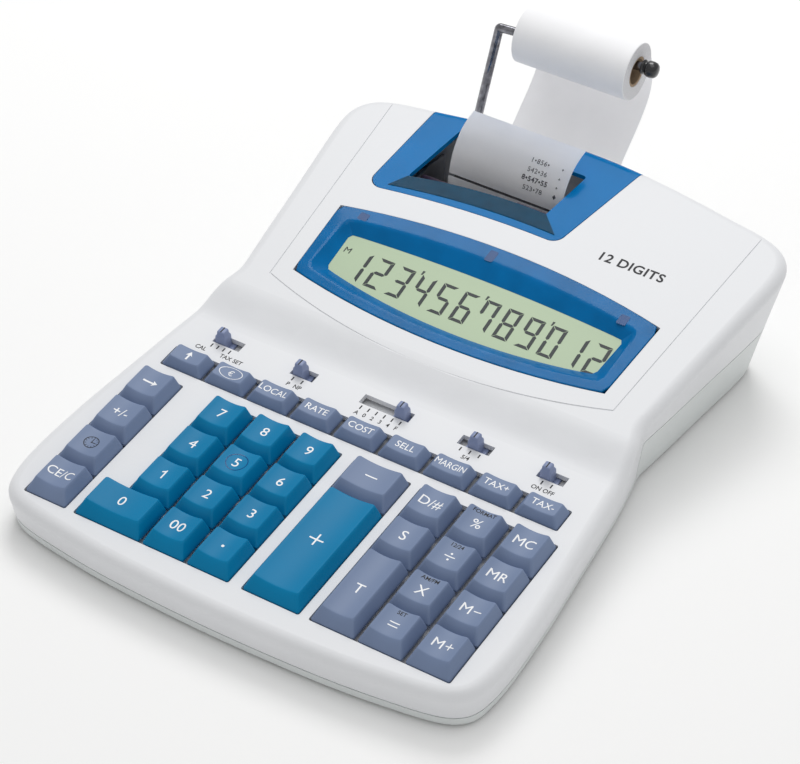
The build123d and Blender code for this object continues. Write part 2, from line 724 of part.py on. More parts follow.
# Paper roll and its cardboard core
with BuildPart() as paper_roll:
    with BuildSketch(SIDE.offset(PAPER_X)):
        with Locations((ROLL_Y, ROLL_Z)):
            Circle(ROLL_R)
            Circle(CORE_R, mode=Mode.SUBTRACT)
    extrude(amount=PAPER_W / 2, both=True)
paper_roll.part.label = "paper_roll"
export_step(paper_roll.part, "parts/paper_roll.step")

with BuildPart() as roll_core:
    with BuildSketch(SIDE.offset(PAPER_X)):
        with Locations((ROLL_Y, ROLL_Z)):
            Circle(CORE_R)
            Circle(CORE_BORE, mode=Mode.SUBTRACT)
    extrude(amount=PAPER_W / 2, both=True)
roll_core.part.label = "roll_core"
export_step(roll_core.part, "parts/roll_core.step")

# Paper arm: bent wire from the back of the case up and across, with a moulded end knob
with BuildPart() as paper_arm:
    with BuildLine() as wire_path:
        FilletPolyline(
            (ARM_X, FRONT + ARM_IN_Y, ARM_FOOT_Z),
            (ARM_X, FRONT + ARM_FOOT_Y, ARM_FOOT_Z),
            (ARM_X, FRONT + ROLL_Y, ROD_Z),
            (ROD_END, FRONT + ROLL_Y, ROD_Z),
            radius=ARM_BEND,
        )
    with BuildSketch(Plane(origin=(ARM_X, FRONT + ARM_IN_Y, ARM_FOOT_Z), z_dir=(0, 1, 0))):
        Circle(ROD_R)
    sweep(path=wire_path.line)
with BuildPart() as arm_knob:
    with BuildSketch(SIDE.offset(7.4)):
        with Locations((ROLL_Y, ROD_Z)):
            Circle(3.4)
    extrude(amount=1.6)
    with BuildSketch(SIDE.offset(9.0)):
        with Locations((ROLL_Y, ROD_Z)):
            Circle(3.8)
    extrude(amount=6.2)
    fillet(arm_knob.faces().sort_by(Axis.X)[-1].edges(), 2.4)
    add(paper_arm.part, mode=Mode.SUBTRACT)
export_step(Compound(label="paper_arm", children=[paper_arm.part, arm_knob.part]), "parts/paper_arm.step")

# Web: the paper from the roll down into the back of the case and up behind the print head
WEB = [
    (341.9, 89.7), (344.6, 79.0), (343.2, 69.0), (335.5, 58.5), (322.0, 45.8), (305.0, 29.0), (290.5, 14.8),
    (281.0, 10.8), (271.0, 12.6), (264.8, 20.0), (262.4, 30.0), (262.3, 40.0), (262.9, 49.6),
]
web_right, web_left = strip(WEB, PAPER_T)
with BuildPart() as paper_web:
    with BuildSketch(SIDE.offset(PAPER_X)):
        with BuildLine():
            Spline(*web_right)
            Line(web_right[-1], web_left[-1])
            Spline(*web_left)
            Line(web_left[0], web_right[0])
        make_face()
    extrude(amount=PAPER_W / 2, both=True)
paper_web.part.label = "paper_web"
export_step(paper_web.part, "parts/paper_web.step")

# Tail: the printed end of the paper, standing out of the printer cover and curling back
TAIL = [(263.3, 50.6), (264.2, 55.0), (266.7, 61.2), (271.6, 67.4), (277.0, 70.6), (283.6, 72.4)]
tail_right, tail_left = strip(TAIL, PAPER_T)
with BuildPart() as paper_tail:
    with BuildSketch(SIDE.offset(PAPER_X)):
        with BuildLine():
            Spline(*tail_right)
            Line(tail_right[-1], tail_left[-1])
            Spline(*tail_left)
            Line(tail_left[0], tail_right[0])
        make_face()
    extrude(amount=PAPER_W / 2, both=True)
paper_tail.part.label = "paper_tail"
export_step(paper_tail.part, "parts/paper_tail.step")

# Circuit board and the rubber dome mat that lies on it
with BuildPart() as board:
    with BuildSketch(DECK.offset(BOARD_BOTTOM)):
        with Locations((0, 76)):
            Rectangle(190, 120)
    extrude(amount=BOARD_TOP - BOARD_BOTTOM)
    with BuildSketch(DECK.offset(BOARD_TOP)):
        with Locations((-40, 127), (30, 128)):
            Rectangle(14, 10)
    extrude(amount=2.2)
with BuildPart() as dome_mat:
    with BuildSketch(DECK.offset(BOARD_TOP)):
        with Locations((0, 67)):
            Rectangle(188, 100)
        with Locations((-62, 119.5), (62, 119.5)):
            Rectangle(8, 8)
    extrude(amount=MAT_TOP - BOARD_TOP)
    for name, x, front, width, depth, rise in KEYS:
        for dx, dv in stems(width, depth):
            with BuildSketch(DECK.offset(MAT_TOP)):
                with Locations((x + dx, front + depth / 2 + dv)):
                    Circle(3.0)
            extrude(amount=DOME_RISE)
export_step(Compound(label="circuit_board", children=[board.part, dome_mat.part]), "parts/circuit_board.step")

# Feet
with BuildPart() as feet:
    with BuildSketch(GROUND):
        with Locations(*FEET):
            Circle(FOOT_R)
    extrude(amount=FOOT_T)
feet.part.label = "feet"
export_step(feet.part, "parts/feet.step")

# Screws that hold the two case halves together, from below
with BuildPart() as screws:
    for x, y, seat in SCREWS:
        with BuildSketch(GROUND.offset(seat - SCREW_HEAD_T)):
            with Locations((x, y)):
                Circle(SCREW_HEAD_R)
        extrude(amount=SCREW_HEAD_T)
        with BuildSketch(GROUND.offset(seat)):
            with Locations((x, y)):
                Circle(SCREW_R)
        extrude(amount=9.5)
        with BuildSketch(GROUND.offset(seat - SCREW_HEAD_T)):
            with Locations((x, y)):
                Rectangle(3.2, 0.7)
                Rectangle(0.7, 3.2)
        extrude(amount=1.0, mode=Mode.SUBTRACT)
screws.part.label = "screws"
export_step(screws.part, "parts/screws.step")

# Battery door in the floor
with BuildPart() as battery_door:
    with BuildSketch(GROUND.offset(CASE_FLOOR)):
        with Locations((0, DOOR_Y)):
            Rectangle(DOOR_W - 0.8, DOOR_D - 0.8)
    extrude(amount=DOOR_T)
    with BuildSketch(GROUND.offset(CASE_FLOOR)):
        with Locations((0, DOOR_Y - 7)):
            Rectangle(12, 1.2)
        with Locations((0, DOOR_Y - 4.5)):
            Rectangle(12, 1.2)
    extrude(amount=0.5, mode=Mode.SUBTRACT)
battery_door.part.label = "battery_door"
export_step(battery_door.part, "parts/battery_door.step")
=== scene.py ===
from math import cos, hypot, pi, radians, sin, sqrt, tan

import bmesh
import bpy
from mathutils import Matrix, Vector


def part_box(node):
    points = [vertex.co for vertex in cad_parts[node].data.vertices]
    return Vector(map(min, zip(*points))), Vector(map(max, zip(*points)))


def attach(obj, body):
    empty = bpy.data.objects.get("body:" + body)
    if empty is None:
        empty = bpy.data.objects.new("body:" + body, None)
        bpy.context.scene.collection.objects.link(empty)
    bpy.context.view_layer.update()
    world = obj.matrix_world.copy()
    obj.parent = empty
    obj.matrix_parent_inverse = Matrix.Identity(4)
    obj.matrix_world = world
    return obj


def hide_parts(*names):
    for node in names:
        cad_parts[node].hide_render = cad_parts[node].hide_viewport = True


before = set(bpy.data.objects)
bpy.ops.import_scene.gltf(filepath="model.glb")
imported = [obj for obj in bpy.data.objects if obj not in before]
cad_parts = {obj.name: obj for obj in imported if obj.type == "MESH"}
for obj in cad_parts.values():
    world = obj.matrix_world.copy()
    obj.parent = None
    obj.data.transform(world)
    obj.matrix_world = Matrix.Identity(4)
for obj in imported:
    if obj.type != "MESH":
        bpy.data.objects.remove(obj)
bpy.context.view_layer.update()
MM = 0.001

# ---------------------------------------------------------------- design planes, as the CAD source has them
FRONT = -172.0
DECK_TILT = radians(5.0)
HEAD_TILT = radians(10.6)


def plane(y, z, tilt):
    """World matrix of a tilted design plane: local x to the right, y up the slope, z out of the surface."""
    return Matrix((
        (1, 0, 0, 0),
        (0, cos(tilt), -sin(tilt), (FRONT + y) * MM),
        (0, sin(tilt), cos(tilt), z * MM),
        (0, 0, 0, 1),
    ))


DECK = plane(0, 19.0, DECK_TILT)
HEAD = plane(174.4, 41.7, HEAD_TILT)
SIDE = Matrix(((0, 0, 1, 0), (1, 0, 0, FRONT * MM), (0, 1, 0, 0), (0, 0, 0, 1)))   # local (y, z, x)


# ---------------------------------------------------------------- materials
PLASTIC_IOR = 1.5
COAT_ROUGHNESS = 0.12
GRAIN_DEPTH = 0.05 * MM


def material(name, color, rough=0.45, grain=0.0, grain_mm=0.35, vary=0.03, vary_mm=25, metal=0.0, coat=0.0,
             gloss=0.5, rough_vary=0.06, stretch=None, sheen=0.0):
    """Moulded surface: slow colour drift, roughness mottling and a fine grain in the bump."""
    mat = bpy.data.materials.new(name)
    mat.use_nodes = True
    tree = mat.node_tree
    nodes, links = tree.nodes, tree.links
    shader = nodes["Principled BSDF"]
    coords = nodes.new("ShaderNodeTexCoord")
    source = coords.outputs["Object"]
    if stretch:
        mapping = nodes.new("ShaderNodeMapping")
        mapping.inputs["Scale"].default_value = stretch
        links.new(source, mapping.inputs["Vector"])
        source = mapping.outputs["Vector"]
    slow = nodes.new("ShaderNodeTexNoise")
    slow.inputs["Scale"].default_value = 1000.0 / vary_mm
    slow.inputs["Detail"].default_value = 3
    links.new(source, slow.inputs["Vector"])
    ramp = nodes.new("ShaderNodeValToRGB")
    ramp.color_ramp.elements[0].position = 0.3
    ramp.color_ramp.elements[1].position = 0.7
    ramp.color_ramp.elements[0].color = (*[c * (1 - vary) for c in color[:3]], 1)
    ramp.color_ramp.elements[1].color = (*[min(1, c * (1 + vary)) for c in color[:3]], 1)
    links.new(slow.outputs["Fac"], ramp.inputs["Fac"])
    links.new(ramp.outputs["Color"], shader.inputs["Base Color"])
    span = nodes.new("ShaderNodeMapRange")
    span.inputs["To Min"].default_value = max(0.02, rough - rough_vary)
    span.inputs["To Max"].default_value = min(1, rough + rough_vary)
    links.new(slow.outputs["Fac"], span.inputs["Value"])
    links.new(span.outputs["Result"], shader.inputs["Roughness"])
    if grain:
        fine = nodes.new("ShaderNodeTexNoise")
        fine.inputs["Scale"].default_value = 1000.0 / grain_mm
        fine.inputs["Detail"].default_value = 4
        links.new(source, fine.inputs["Vector"])
        bump = nodes.new("ShaderNodeBump")
        bump.inputs["Strength"].default_value = grain
        bump.inputs["Distance"].default_value = GRAIN_DEPTH
        links.new(fine.outputs["Fac"], bump.inputs["Height"])
        links.new(bump.outputs["Normal"], shader.inputs["Normal"])
    shader.inputs["Metallic"].default_value = metal
    shader.inputs["IOR"].default_value = PLASTIC_IOR
    shader.inputs["Coat Weight"].default_value = coat
    shader.inputs["Coat Roughness"].default_value = COAT_ROUGHNESS
    shader.inputs["Specular IOR Level"].default_value = gloss
    if sheen:
        shader.inputs["Sheen Weight"].default_value = sheen
    return mat


CASE = material("case_grey", (0.78, 0.79, 0.81), rough=0.42, grain=0.25, grain_mm=0.45, vary=0.012,
                gloss=0.35)
CASE_LOW = material("case_grey_lower", (0.72, 0.75, 0.745), rough=0.45, grain=0.3, grain_mm=0.45, vary=0.015,
                    gloss=0.35)
BLUE = material("key_blue", (0.0, 0.20, 0.41), rough=0.4, grain=0.12, grain_mm=0.3, vary=0.04, gloss=0.14)
SLATE = material("key_slate", (0.185, 0.245, 0.385), rough=0.42, grain=0.12, grain_mm=0.3, vary=0.03,
                 gloss=0.22)
KNOB = material("knob_grey", (0.24, 0.29, 0.46), rough=0.35, grain=0.1, grain_mm=0.3, vary=0.03, gloss=0.3)
BEZEL = material("bezel_blue", (0.0, 0.135, 0.37), rough=0.16, vary=0.10, vary_mm=14, gloss=0.07, coat=0.05,
                 rough_vary=0.03)
BEZEL_DEEP = material("bezel_blue_deep", (0.0, 0.055, 0.20), rough=0.15, vary=0.1, vary_mm=14, gloss=0.16,
                      rough_vary=0.03)
COVER = material("cover_blue", (0.0, 0.165, 0.45), rough=0.14, vary=0.05, vary_mm=25, gloss=0.06,
                 rough_vary=0.03)
APRON = material("cover_smoke", (0.0, 0.095, 0.20), rough=0.12, vary=0.18, vary_mm=12, gloss=0.1,
                 rough_vary=0.03)
LCD = material("display_ground", (0.42, 0.53, 0.35), rough=0.3, grain=0.06, grain_mm=0.2, vary=0.03,
               vary_mm=40, gloss=0.25)
INK = material("display_ink", (0.012, 0.02, 0.022), rough=0.35, vary=0.2, vary_mm=6, gloss=0.2)
PRINT_WHITE = material("print_white", (0.88, 0.89, 0.90), rough=0.4, vary=0.02, vary_mm=3)
PRINT_BLACK = material("print_black", (0.015, 0.016, 0.02), rough=0.45, vary=0.15, vary_mm=3, gloss=0.2)
PRINT_GREY = material("print_ribbon", (0.07, 0.07, 0.085), rough=0.7, vary=0.35, vary_mm=1.2)
# Wire chrome: its low base colour is a painted dark reflection of the surroundings the wire mirrors, not the
# metal's own tone.
CHROME_DARK_REFLECTION = material("wire_chrome", (0.20, 0.20, 0.22), rough=0.12, vary=0.5, vary_mm=3, metal=1.0,
                  rough_vary=0.04)
STEEL = material("frame_steel", (0.42, 0.43, 0.45), rough=0.35, grain=0.3, grain_mm=0.4, metal=1.0,
                 stretch=(1, 12, 1))
BLACK = material("knob_black", (0.012, 0.012, 0.014), rough=0.22, vary=0.2, coat=0.4)
RUBBER = material("roller_rubber", (0.03, 0.03, 0.032), rough=0.75, grain=0.5, grain_mm=0.3, vary=0.15)
FELT = material("ink_felt", (0.035, 0.015, 0.05), rough=0.85, grain=0.8, grain_mm=0.5, vary=0.3, sheen=0.3)
CARD = material("core_card", (0.36, 0.26, 0.17), rough=0.8, grain=0.5, grain_mm=0.5, vary=0.12, vary_mm=4)
BOARD = material("board", (0.02, 0.16, 0.06), rough=0.35, grain=0.2, vary=0.25, vary_mm=5)
PAPER = material("paper", (0.94, 0.94, 0.955), rough=0.75, grain=0.35, grain_mm=0.25, vary=0.015, vary_mm=12,
                 gloss=0.3)


def paper_end():
    """Wound paper seen edge-on: fine rings round the roll's axis."""
    mat = material("paper_edge", (0.78, 0.78, 0.80), rough=0.8, vary=0.02)
    tree = mat.node_tree
    nodes, links = tree.nodes, tree.links
    shader = nodes["Principled BSDF"]
    coords = nodes.new("ShaderNodeTexCoord")
    wave = nodes.new("ShaderNodeTexWave")
    wave.wave_type = "RINGS"
    wave.rings_direction = "Z"
    wave.inputs["Scale"].default_value = 900
    wave.inputs["Distortion"].default_value = 1.2
    wave.inputs["Detail"].default_value = 2
    wave.inputs["Detail Scale"].default_value = 60
    links.new(coords.outputs["Object"], wave.inputs["Vector"])
    ramp = nodes.new("ShaderNodeValToRGB")
    ramp.color_ramp.elements[0].color = (0.50, 0.50, 0.53, 1)
    ramp.color_ramp.elements[1].color = (0.82, 0.82, 0.84, 1)
    ramp.color_ramp.elements[1].position = 0.45
    links.new(wave.outputs["Fac"], ramp.inputs["Fac"])
    links.new(ramp.outputs["Color"], shader.inputs["Base Color"])
    bump = nodes.new("ShaderNodeBump")
    bump.inputs["Strength"].default_value = 0.5
    bump.inputs["Distance"].default_value = 0.0001
    links.new(wave.outputs["Fac"], bump.inputs["Height"])
    links.new(bump.outputs["Normal"], shader.inputs["Normal"])
    return mat


PAPER_END = paper_end()


# ---------------------------------------------------------------- mesh helpers
def build(name, bm, mat, body, place=None, angle=35):
    """Turn a bmesh in millimetres into a piece that rides on a body."""
    bmesh.ops.scale(bm, vec=(MM, MM, MM), verts=bm.verts)
    bmesh.ops.recalc_face_normals(bm, faces=bm.faces)
    mesh = bpy.data.meshes.new(name)
    bm.to_mesh(mesh)
    bm.free()
    for m in mat if isinstance(mat, (list, tuple)) else [mat]:
        mesh.materials.append(m)
    mesh.shade_smooth()
    if angle:
        mesh.set_sharp_from_angle(angle=radians(angle))
    obj = bpy.data.objects.new(name, mesh)
    bpy.context.scene.collection.objects.link(obj)
    if place is not None:
        obj.matrix_world = place
    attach(obj, body)
    return obj


def rounded(a, b, r, steps=5):
    """Rounded rectangle of half sizes a and b, counter-clockwise."""
    points = []
    for cx, cy, start in ((a - r, b - r, 0), (r - a, b - r, 90), (r - a, r - b, 180), (a - r, r - b, 270)):
        for i in range(steps + 1):
            t = radians(start + 90 * i / steps)
            points.append((cx + r * cos(t), cy + r * sin(t)))
    return points


def skin(bm, rings, cap_low=True, cap_high=True, closed=True):
    """Join rings of equal length into a surface."""
    made = [[bm.verts.new(p) for p in ring] for ring in rings]
    for low, high in zip(made, made[1:]):
        count = len(low)
        for i in range(count if closed else count - 1):
            j = (i + 1) % count
            bm.faces.new((low[i], low[j], high[j], high[i]))
    if cap_low:
        bm.faces.new(list(reversed(made[0])))
    if cap_high:
        bm.faces.new(made[-1])
    return made


def slice_x(bm, low, high, step):
    """Cut every face at regular planes across x, so that the mesh can be bent."""
    x = low + step / 2
    while x < high:
        bmesh.ops.bisect_plane(bm, geom=bm.verts[:] + bm.edges[:] + bm.faces[:], plane_co=(x, 0, 0),
                               plane_no=(1, 0, 0), dist=1e-6)
        x += step


def lathe(profile, steps=48):
    """Closed surface of revolution about local z from (radius, z) points; the ends lie on the axis."""
    bm = bmesh.new()
    rings = []
    for r, z in profile:
        rings.append([(r * cos(2 * pi * i / steps), r * sin(2 * pi * i / steps), z) for i in range(steps)])
    skin(bm, rings)
    return bm


# ---------------------------------------------------------------- keys
SKIRT = 1.2               # depth of the straight skirt below the deck
BIG_KEY = {"rise": 5.6, "dish": 1.3, "front_in": 4.2}
SMALL_KEY = {"rise": 4.2, "dish": 0.7, "front_in": 2.3}
SMALL_DEPTH = 13          # keys less deep than this are small ones
SIDE_IN = 2.6             # how far the top stands in from the foot, at each side
BACK_IN = 0.9             # and at the back


class Key:
    """Size and place of a key on the deck, read from its CAD box."""

    def __init__(self, node):
        low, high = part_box(node)
        self.node = node
        self.x = (low.x + high.x) / 2 / MM
        self.w = (high.x - low.x) / MM
        self.front = (low.y / MM - FRONT) / cos(DECK_TILT)
        self.back = (high.y / MM - FRONT - SKIRT * sin(DECK_TILT)) / cos(DECK_TILT)
        self.d = self.back - self.front
        form = SMALL_KEY if self.d < SMALL_DEPTH else BIG_KEY
        self.rise = form["rise"]
        self.dish = form["dish"]
        self.top_w = self.w - 2 * SIDE_IN
        self.top_d = self.d - form["front_in"] - BACK_IN
        self.top_v = self.front + form["front_in"] + self.top_d / 2
        self.mid_v = (self.front + self.back) / 2
        self.radius = (self.top_w ** 2 / 4 + self.dish ** 2) / (2 * self.dish)

    def height(self, x):
        """Height of the dished top at x from the key's middle."""
        x = min(abs(x), self.top_w / 2)
        return self.rise - self.dish + self.radius - sqrt(self.radius ** 2 - x ** 2)


def keycap(key, mat):
    """Tapered cap with rounded edges and a dished top."""
    bm = bmesh.new()
    base = (key.w / 2, key.d / 2, 1.0, key.mid_v)
    top = (key.top_w / 2, key.top_d / 2, 1.1, key.top_v)

    def ring(t, n, grow=0.0):
        a, b, r, v = [p + (q - p) * t for p, q in zip(base, top)]
        return [(key.x + x, v + y, n) for x, y in rounded(a + grow, b + grow, max(0.3, r + grow))]

    edge = 0.55
    t0 = 1 - edge / key.rise
    rings = [
        ring(0, -SKIRT, -0.25), ring(0, -SKIRT + 0.25), ring(0, 0), ring(0.5, key.rise / 2),
        ring(t0, key.rise * t0), ring(1, key.rise - 0.2, -0.04), ring(1, key.rise - 0.05, -0.2),
        ring(1, key.rise, -0.55), ring(1, key.rise, -1.6),
    ]
    skin(bm, rings)
    slice_x(bm, key.x - key.w / 2, key.x + key.w / 2, 0.9)
    for v in bm.verts:
        share = max(0.0, min(1.0, (v.co.z - 0.2 * key.rise) / (0.8 * key.rise)))
        v.co.z += (key.height(v.co.x - key.x) - key.rise) * share
    obj = build(key.node + "_cap", bm, mat, key.node, DECK, angle=32)
    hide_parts(key.node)
    return obj


# ---------------------------------------------------------------- printed marks
KEY_MARK_DEPTH = 0.12
FLAT_MARK_DEPTH = 0.1


def one_bm(cap, stroke=0.62):
    """Figure one with a short flag."""
    h = cap / 2
    left = -stroke / 2
    return polygon_bm([(left, -h), (-left, -h), (-left, h), (-stroke * 0.2, h), (left, h - 0.5)],
                      [(-1.5, h - 1.35), (-1.5, h - 1.9), (left, h - 1.35), (left, h - 0.5)])


CAP_OF_SIZE = 0.73        # capital height of the built-in face over its size


def text_bm(words, cap, weight=0.0, wide=1.0, gap=1.0):
    """Flat lettering with capitals cap high, centred on the origin."""
    curve = bpy.data.curves.new("words", "FONT")
    curve.body = words
    curve.size = cap / CAP_OF_SIZE
    curve.offset = weight
    curve.space_character = gap
    curve.resolution_u = 4
    curve.align_x = "LEFT"
    holder = bpy.data.objects.new("words", curve)
    bpy.context.scene.collection.objects.link(holder)
    bpy.context.view_layer.update()
    mesh = bpy.data.meshes.new_from_object(holder.evaluated_get(bpy.context.evaluated_depsgraph_get()))
    bpy.data.objects.remove(holder)
    bpy.data.curves.remove(curve)
    bm = bmesh.new()
    bm.from_mesh(mesh)
    bpy.data.meshes.remove(mesh)
    xs = [v.co.x for v in bm.verts]
    ys = [v.co.y for v in bm.verts]
    cx = (min(xs) + max(xs)) / 2
    cy = (min(ys) + max(ys)) / 2 if len(words) == 1 and not words.isalnum() else cap / 2
    for v in bm.verts:
        v.co.x = (v.co.x - cx) * wide
        v.co.y -= cy
    return bm


def polygon_bm(*loops):
    """Flat faces from closed loops of points."""
    bm = bmesh.new()
    for loop in loops:
        bm.faces.new([bm.verts.new((x, y, 0)) for x, y in loop])
    return bm


def ring_bm(outer, inner, rx=1.0, ry=1.0, steps=40):
    """Flat ring, stretched by rx and ry."""
    bm = bmesh.new()
    rings = []
    for r in (outer, inner):
        turns = [2 * pi * i / steps for i in range(steps)]
        rings.append([(rx * r * cos(t), ry * r * sin(t), 0) for t in turns])
    skin(bm, rings, False, False)
    return bm


def join_bm(*parts):
    """One bmesh from several, each given as (bmesh, x shift, y shift)."""
    bm = bmesh.new()
    for part, dx, dy in parts:
        mesh = bpy.data.meshes.new("part")
        bmesh.ops.translate(part, vec=(dx, dy, 0), verts=part.verts)
        part.to_mesh(mesh)
        part.free()
        bm.from_mesh(mesh)
        bpy.data.meshes.remove(mesh)
    return bm


def turn_bm(bm, turn):
    """Turn flat marks about the origin by an angle in degrees."""
    bmesh.ops.rotate(bm, verts=bm.verts, cent=(0, 0, 0), matrix=Matrix.Rotation(radians(turn), 3, "Z"))


def thicken(bm, depth):
    """Give flat marks a little height above their own plane."""
    made = bmesh.ops.extrude_face_region(bm, geom=bm.faces[:])
    for v in [g for g in made["geom"] if isinstance(g, bmesh.types.BMVert)]:
        v.co.z += depth


def mark_on_key(key, tag, bm, mat, dv=0.0, lift=0.04):
    """Lay a flat mark on the dished top of a key."""
    slice_x(bm, -key.w / 2, key.w / 2, 0.8)
    thicken(bm, KEY_MARK_DEPTH)
    for v in bm.verts:
        v.co.z += key.height(v.co.x) + lift - KEY_MARK_DEPTH
        v.co.x += key.x
        v.co.y += key.top_v + dv
    return build(tag + key.node[3:], bm, mat, key.node, DECK, angle=30)


def mark_flat(name, bm, mat, place, x, v, n=0.03):
    """Lay a flat mark on a design plane of the case."""
    thicken(bm, FLAT_MARK_DEPTH)
    for vert in bm.verts:
        vert.co.x += x
        vert.co.y += v
        vert.co.z += n - FLAT_MARK_DEPTH
    return build(name, bm, mat, "case", place, angle=30)


def arrow_bm(length, turn):
    """Arrow with a filled head, pointing up, turned by an angle in degrees."""
    h = length / 2
    shaft = 0.42
    bm = polygon_bm([(-shaft, -h), (shaft, -h), (shaft, h - 1.9), (-shaft, h - 1.9)],
                    [(-1.55, h - 2.5), (0, h - 1.9), (1.55, h - 2.5), (0, h)])
    turn_bm(bm, turn)
    return bm


def bar_bm(w, h):
    """Upright rectangle."""
    return polygon_bm([(-w / 2, -h / 2), (w / 2, -h / 2), (w / 2, h / 2), (-w / 2, h / 2)])


def cross_bm(size, stroke):
    """Two crossing bars."""
    arm = (size - stroke) / 2
    away = (size + stroke) / 4
    return join_bm((bar_bm(size, stroke), 0, 0), (bar_bm(stroke, arm), 0, away),
                   (bar_bm(stroke, arm), 0, -away))


def dot_bm(r):
    """Filled round dot."""
    return polygon_bm([(r * cos(2 * pi * i / 20), r * sin(2 * pi * i / 20)) for i in range(20)])


def clock_bm():
    """Clock face: rim, twelve ticks and two hands."""
    parts = [(ring_bm(3.3, 2.95), 0, 0), (dot_bm(0.35), 0, 0)]
    parts += [(bar_bm(0.34, 2.1), 0, 1.3), (bar_bm(1.7, 0.34), 1.1, 0)]
    for i in range(12):
        tick = bar_bm(0.22, 0.7)
        bmesh.ops.translate(tick, vec=(0, 2.5, 0), verts=tick.verts)
        turn_bm(tick, 30 * i)
        parts.append((tick, 0, 0))
    return join_bm(*parts)


def divide_bm():
    return join_bm((bar_bm(4.6, 0.5), 0, 0), (dot_bm(0.5), 0, 1.7), (dot_bm(0.5), 0, -1.7))


def equals_bm():
    return join_bm((bar_bm(4.4, 0.5), 0, 0.95), (bar_bm(4.4, 0.5), 0, -0.95))


def memory_bm(sign):
    """Letter M followed by a drawn plus or minus sign."""
    return join_bm((text_bm("M", 4.8), -1.9, 0), (sign, 3.0, 0))


def legend(name, bm, dv=0.0, mat=PRINT_WHITE):
    """Main mark of a key, dv up the key from the middle of its top."""
    mark_on_key(keys["key_" + name], "legend", bm, mat, dv=dv)


BRIGHT = {"key_" + k for k in ("0", "1", "2", "3", "4", "5", "6", "7", "8", "9", "00", "point", "plus")}
keys = {}
for node in sorted(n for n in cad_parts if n.startswith("key_")):
    keys[node] = Key(node)
    keycap(keys[node], BLUE if node in BRIGHT else SLATE)

DIGIT_CAP = 5.0
for digit in ("2", "3", "4", "5", "6", "7", "8", "9", "0", "00"):
    legend(digit, text_bm(digit, DIGIT_CAP))
legend("1", one_bm(DIGIT_CAP))
mark_on_key(keys["key_5"], "rim", ring_bm(4.7, 4.35), BEZEL_DEEP, lift=0.06)

LETTERS = (                # key, letters, cap height, width, shift up the key
    ("total", "T", 5.2, 1.0, -2.0), ("subtotal", "S", 5.2, 1.0, 0.0), ("date", "D/#", 4.8, 1.0, 0.0),
    ("percent", "%", 5.0, 1.0, -0.8), ("times", "X", 5.0, 1.0, -0.8), ("mc", "MC", 4.8, 1.0, 0.0),
    ("mr", "MR", 4.8, 1.0, 0.0), ("ce_c", "CE/C", 4.5, 0.92, 0.0), ("sign", "+/-", 4.8, 1.0, 0.0),
    ("local", "LOCAL", 3.5, 0.9, 0.2), ("rate", "RATE", 3.5, 0.95, 0.2), ("cost", "COST", 3.5, 0.95, 0.2),
    ("sell", "SELL", 3.5, 0.95, 0.2), ("margin", "MARGIN", 3.5, 0.78, 0.2),
    ("tax_plus", "TAX+", 3.5, 0.95, 0.2), ("tax_minus", "TAX-", 3.5, 0.95, 0.2),
)
for name, words, cap, wide, dv in LETTERS:
    legend(name, text_bm(words, cap, wide=wide), dv)

legend("point", dot_bm(0.65))
legend("plus", cross_bm(6.4, 0.7), 1.0)
legend("minus", bar_bm(5.6, 0.6))
legend("divide", divide_bm(), -0.8)
legend("equals", equals_bm(), -0.8)
legend("m_minus", memory_bm(bar_bm(3.2, 0.5)))
legend("m_plus", memory_bm(cross_bm(3.4, 0.5)))
legend("clock", clock_bm(), mat=PRINT_BLACK)
legend("shift", arrow_bm(7.0, -90))
legend("feed", arrow_bm(5.0, 0))
legend("euro", join_bm((text_bm("€", 3.0), 0, 0), (ring_bm(1, 0.93, 5.6, 3.2), 0, 0)))
for name, words in (("percent", "FORMAT"), ("divide", "12/24"), ("times", "AM/PM"), ("equals", "SET")):
    mark_on_key(keys["key_" + name], "second", text_bm(words, 2.0, 0.03, wide=0.95), PRINT_BLACK, dv=5.6)

# ---------------------------------------------------------------- case and other carried-over CAD nodes
SKINS = {
    "upper_case": CASE, "lower_case": CASE_LOW, "display_bezel": BEZEL, "lcd_module": LCD,
    "printer_cover": COVER, "printer_frame": STEEL, "feed_roller": RUBBER, "ink_roller": FELT,
    "circuit_board": BOARD, "feet": RUBBER, "screws": STEEL, "battery_door": CASE_LOW,
}
for node, mat in SKINS.items():
    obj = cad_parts[node]
    obj.data.materials.clear()
    obj.data.materials.append(mat)
    obj.data.shade_smooth()
    obj.data.set_sharp_from_angle(angle=radians(28))


# ---------------------------------------------------------------- slide switches
SWITCH_V = 129.2          # the row of slots, up the deck
TICK_V = 124.3
LABEL_V = 120.9


